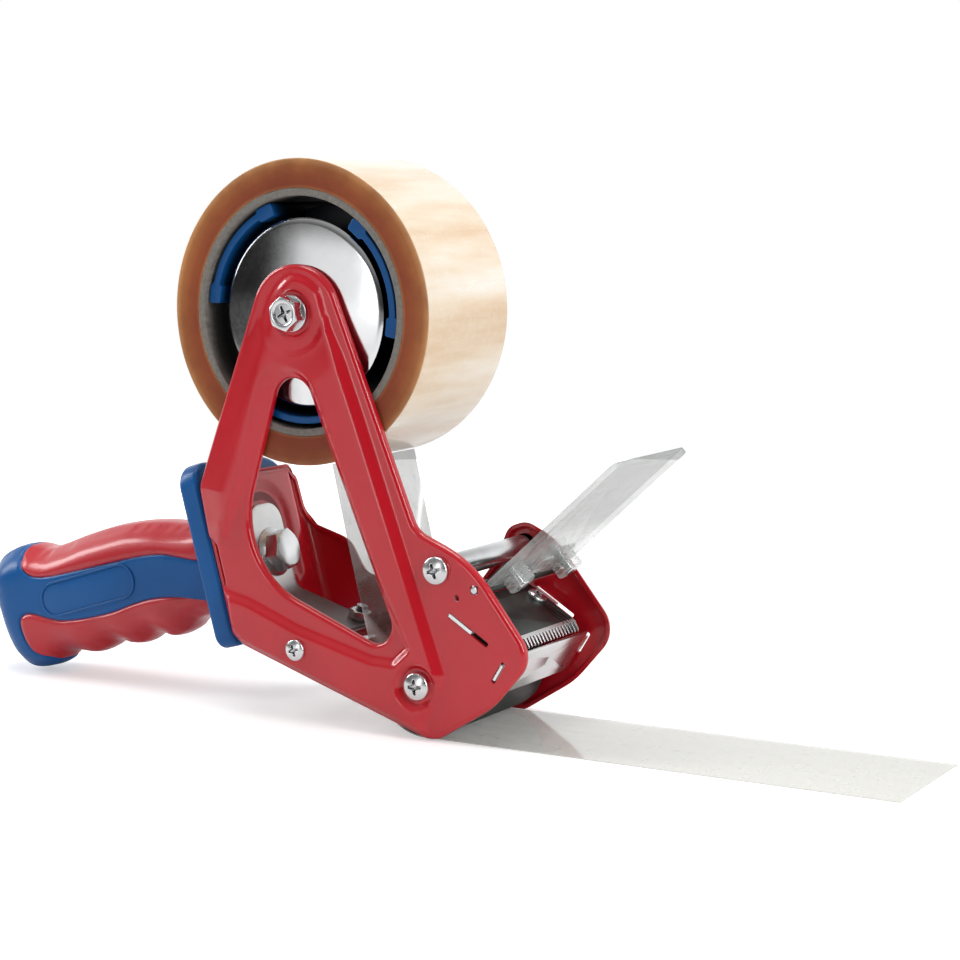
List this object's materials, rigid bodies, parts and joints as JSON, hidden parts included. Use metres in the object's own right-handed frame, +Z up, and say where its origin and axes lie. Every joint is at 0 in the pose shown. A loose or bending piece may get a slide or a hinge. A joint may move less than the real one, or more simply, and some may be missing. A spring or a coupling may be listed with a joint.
{
  "type": "tape gun dispenser",
  "caption": "Hand-held packing tape gun: pressed side plates, braked roll hub, rubber application roller, serrated blade, clear guard flap and a two-colour grip.",
  "frame": {"origin": "on the floor below the application roller's axis, midway across the tape", "axes": "+X forward to the nose and along the laid tape, +Z up, -Y towards the tall open side plate"},
  "size_m": [0.3629, 0.071, 0.1867],
  "materials": {
    "red_enamel": "glossy stoved enamel on pressed steel",
    "zinc_plate": "bright zinc plate",
    "plain_steel": "plain bright steel",
    "dark_zinc": "dark satin zinc",
    "bright_plate": "satin bright plate",
    "chrome_dish": "polished chrome",
    "roller_rubber": "ground satin rubber",
    "black_plastic": "moulded black plastic",
    "white_plastic": "moulded acetal",
    "blue_plastic": "moulded blue plastic",
    "red_grip": "soft moulded grip, satin",
    "clear_plastic": "clear moulded plastic",
    "tape_film": "clear packing tape film",
    "wound_tape": "wound tape, honey-coloured sides and cream face",
    "card_core": "grey wound cardboard"
  },
  "bodies": {
    "root": {"near_side_plate": "red_enamel", "far_side_plate": "red_enamel", "brace_strap": "zinc_plate", "brace_screw": "plain_steel", "brace_nut": "zinc_plate", "upper_spacer_rod": "zinc_plate", "rear_spacer_rod": "zinc_plate", "plate_screws": "zinc_plate", "rear_rod_screws": "zinc_plate", "roller_axle": "plain_steel", "blade_holder": "dark_zinc", "blade": "plain_steel", "blade_screws": "zinc_plate", "front_plate": "bright_plate", "flap_pin": "plain_steel", "axle_shaft": "plain_steel", "axle_screw": "zinc_plate", "axle_washer": "zinc_plate", "pressure_disc": "chrome_dish", "hub_bush": "white_plastic", "brake_washer": "zinc_plate", "brake_spring": "plain_steel", "tape_web": "tape_film", "handle_bolt": "zinc_plate", "handle_washer": "zinc_plate", "handle_nut": "plain_steel", "handle_guard": "blue_plastic", "handle_core": "blue_plastic", "grip_top": "red_grip", "grip_bottom": "red_grip", "handle_badges": "blue_plastic"},
    "roll": {"hub_wheel": "blue_plastic", "tape_core": "card_core", "tape_roll": "wound_tape"},
    "roller": {"roller_bushes": "white_plastic", "roller_core": "black_plastic", "roller_sleeve": "roller_rubber"},
    "flap": {"flap_hinge_leaf": "dark_zinc", "clear_flap": "clear_plastic", "flap_rivets": "zinc_plate", "flap_spring": "plain_steel"},
    "knob": {"brake_knob": "black_plastic"}
  },
  "joints": [
    {"name": "roll_spin", "type": "hinge", "parent": "root", "child": "roll", "pos_m": [-0.047, 0, 0.1364], "axis": [0, 1, 0], "continuous": true},
    {"name": "roller_spin", "type": "hinge", "parent": "root", "child": "roller", "pos_m": [0, 0, 0.0176], "axis": [0, 1, 0], "continuous": true},
    {"name": "flap_swing", "type": "hinge", "parent": "root", "child": "flap", "pos_m": [0.0213, 0, 0.0507], "axis": [0, 1, 0], "range_deg": [-40, 80], "stiffness_Nm_per_rad": 0.05},
    {"name": "brake_adjust", "type": "hinge", "parent": "root", "child": "knob", "pos_m": [-0.047, 0.0333, 0.1364], "axis": [0, 1, 0], "range_deg": [-180, 180]}
  ],
  "couplings": [
    {"joint": "roller_spin", "follows": "roll_spin", "ratio": -2.9159}
  ]
}
